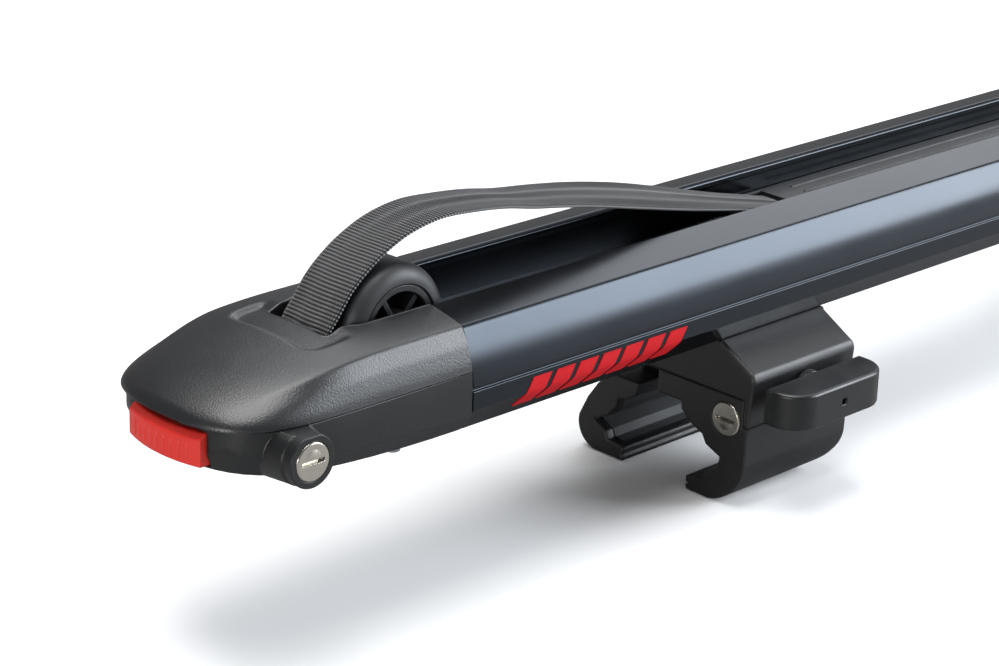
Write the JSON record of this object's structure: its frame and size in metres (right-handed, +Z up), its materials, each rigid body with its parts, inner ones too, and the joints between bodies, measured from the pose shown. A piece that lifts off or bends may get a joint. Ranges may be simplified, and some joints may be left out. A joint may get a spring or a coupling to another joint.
{
  "type": "roof ski rack",
  "caption": "Roof carrier bar with strap-down webbing over end rollers, push-button cam buckles, locks and knob-tightened crossbar clamps.",
  "frame": {"origin": "centre of the bounding box on the surface that the clamps stand on", "axes": "+X along the beam, +Y away from the knobs and locks, +Z up"},
  "size_m": [1.0146, 0.127, 0.1536],
  "materials": {
    "anodised_black": "gloss black anodised extrusion with a soft blue-grey sheen",
    "insert_plastic": "matte black moulded nylon",
    "cover_plastic": "satin fine-grained black moulding",
    "case_plastic": "satin black moulding",
    "button_red": "satin red moulding",
    "tyre_rubber": "dark grey soft rubber",
    "hub_plastic": "black glass-filled nylon",
    "webbing": "charcoal woven polyester webbing",
    "nickel": "nickel-plated lock face",
    "steel": "zinc-plated steel",
    "clamp_plastic": "matte black glass-filled nylon",
    "pad_rubber": "dark grey grip rubber",
    "knob_rubber": "black soft-touch rubber over a nylon core"
  },
  "bodies": {
    "root": {"beam": "anodised_black", "channel_insert": "insert_plastic", "strap_anchor_pins": "steel", "left_end_cap_cover": "cover_plastic", "left_end_cap_case": "case_plastic", "left_cover_screws": "steel", "left_case_screws": "steel", "left_button_spring": "steel", "left_cam_pin": "steel", "left_roller_axle": "steel", "left_strap": "webbing", "right_end_cap_cover": "cover_plastic", "right_end_cap_case": "case_plastic", "right_cover_screws": "steel", "right_case_screws": "steel", "right_button_spring": "steel", "right_cam_pin": "steel", "right_roller_axle": "steel", "right_strap": "webbing"},
    "left_roller": {"left_roller_tyre": "tyre_rubber", "left_roller_hub": "hub_plastic", "left_roller_bushes": "insert_plastic"},
    "left_button": {"left_release_button": "button_red"},
    "left_cam": {"left_strap_cam": "steel"},
    "left_cap_lock": {"left_cap_lock_core": "nickel", "left_cap_lock_tab": "steel"},
    "left_clamp": {"left_clamp_housing": "clamp_plastic", "left_t_bolts": "steel", "left_t_bolt_nuts": "steel", "left_front_jaw": "clamp_plastic", "left_front_jaw_pad": "pad_rubber"},
    "left_rear_jaw": {"left_rear_jaw": "clamp_plastic", "left_rear_jaw_pad": "pad_rubber", "left_barrel_nut": "steel"},
    "left_knob": {"left_clamp_knob": "knob_rubber", "left_draw_bolt": "steel"},
    "left_clamp_lock": {"left_clamp_lock_core": "nickel", "left_clamp_lock_tab": "steel"},
    "right_roller": {"right_roller_tyre": "tyre_rubber", "right_roller_hub": "hub_plastic", "right_roller_bushes": "insert_plastic"},
    "right_button": {"right_release_button": "button_red"},
    "right_cam": {"right_strap_cam": "steel"},
    "right_cap_lock": {"right_cap_lock_core": "nickel", "right_cap_lock_tab": "steel"},
    "right_clamp": {"right_clamp_housing": "clamp_plastic", "right_t_bolts": "steel", "right_t_bolt_nuts": "steel", "right_front_jaw": "clamp_plastic", "right_front_jaw_pad": "pad_rubber"},
    "right_rear_jaw": {"right_rear_jaw": "clamp_plastic", "right_rear_jaw_pad": "pad_rubber", "right_barrel_nut": "steel"},
    "right_knob": {"right_clamp_knob": "knob_rubber", "right_draw_bolt": "steel"},
    "right_clamp_lock": {"right_clamp_lock_core": "nickel", "right_clamp_lock_tab": "steel"}
  },
  "joints": [
    {"name": "left_roller_spin", "type": "hinge", "parent": "root", "child": "left_roller", "pos_m": [-0.4027, 0.0175, 0.1134], "axis": [0, 1, 0], "continuous": true},
    {"name": "left_button_press", "type": "slide", "parent": "root", "child": "left_button", "axis": [1, 0, 0], "range_m": [0, 0.004], "stiffness_N_per_m": 600, "springref_m": -0.004, "deforming": ["left_button_spring"]},
    {"name": "left_cam_turn", "type": "hinge", "parent": "root", "child": "left_cam", "pos_m": [-0.4508, 0.0175, 0.0966], "axis": [0, 1, 0], "range_deg": [0, 20.5]},
    {"name": "left_cap_lock_turn", "type": "hinge", "parent": "root", "child": "left_cap_lock", "pos_m": [-0.4773, -0.0365, 0.0908], "axis": [0, 1, 0], "range_deg": [-90, 0]},
    {"name": "left_clamp_slide", "type": "slide", "parent": "root", "child": "left_clamp", "axis": [1, 0, 0], "range_m": [-0.1, 0.12]},
    {"name": "left_knob_turn", "type": "hinge", "parent": "left_clamp", "child": "left_knob", "pos_m": [-0.203, -0.0449, 0.0506], "axis": [0, 1, 0], "range_deg": [-800, 585]},
    {"name": "left_rear_jaw_slide", "type": "slide", "parent": "left_clamp", "child": "left_rear_jaw", "axis": [0, 1, 0], "range_m": [-0.0079, 0.0109]},
    {"name": "left_clamp_lock_turn", "type": "hinge", "parent": "left_clamp", "child": "left_clamp_lock", "pos_m": [-0.237, -0.0265, 0.0396], "axis": [1, 0, 0], "range_deg": [0, 90]},
    {"name": "right_roller_spin", "type": "hinge", "parent": "root", "child": "right_roller", "pos_m": [0.4027, 0.0175, 0.1134], "axis": [0, 1, 0], "continuous": true},
    {"name": "right_button_press", "type": "slide", "parent": "root", "child": "right_button", "axis": [-1, 0, 0], "range_m": [0, 0.004], "stiffness_N_per_m": 600, "springref_m": -0.004, "deforming": ["right_button_spring"]},
    {"name": "right_cam_turn", "type": "hinge", "parent": "root", "child": "right_cam", "pos_m": [0.4508, 0.0175, 0.0966], "axis": [0, -1, 0], "range_deg": [0, 20.5]},
    {"name": "right_cap_lock_turn", "type": "hinge", "parent": "root", "child": "right_cap_lock", "pos_m": [0.4773, -0.0365, 0.0908], "axis": [0, -1, 0], "range_deg": [-90, 0]},
    {"name": "right_clamp_slide", "type": "slide", "parent": "root", "child": "right_clamp", "axis": [1, 0, 0], "range_m": [-0.12, 0.1]},
    {"name": "right_knob_turn", "type": "hinge", "parent": "right_clamp", "child": "right_knob", "pos_m": [0.203, -0.0449, 0.0506], "axis": [0, 1, 0], "range_deg": [-800, 585]},
    {"name": "right_rear_jaw_slide", "type": "slide", "parent": "right_clamp", "child": "right_rear_jaw", "axis": [0, 1, 0], "range_m": [-0.0079, 0.0109]},
    {"name": "right_clamp_lock_turn", "type": "hinge", "parent": "right_clamp", "child": "right_clamp_lock", "pos_m": [0.237, -0.0265, 0.0396], "axis": [1, 0, 0], "range_deg": [0, 90]}
  ],
  "couplings": [
    {"joint": "left_cam_turn", "follows": "left_button_press", "rad_per_m": 87.5},
    {"joint": "left_knob_turn", "follows": "left_rear_jaw_slide", "rad_per_m": -1256.6},
    {"joint": "right_cam_turn", "follows": "right_button_press", "rad_per_m": 87.5},
    {"joint": "right_knob_turn", "follows": "right_rear_jaw_slide", "rad_per_m": -1256.6}
  ]
}
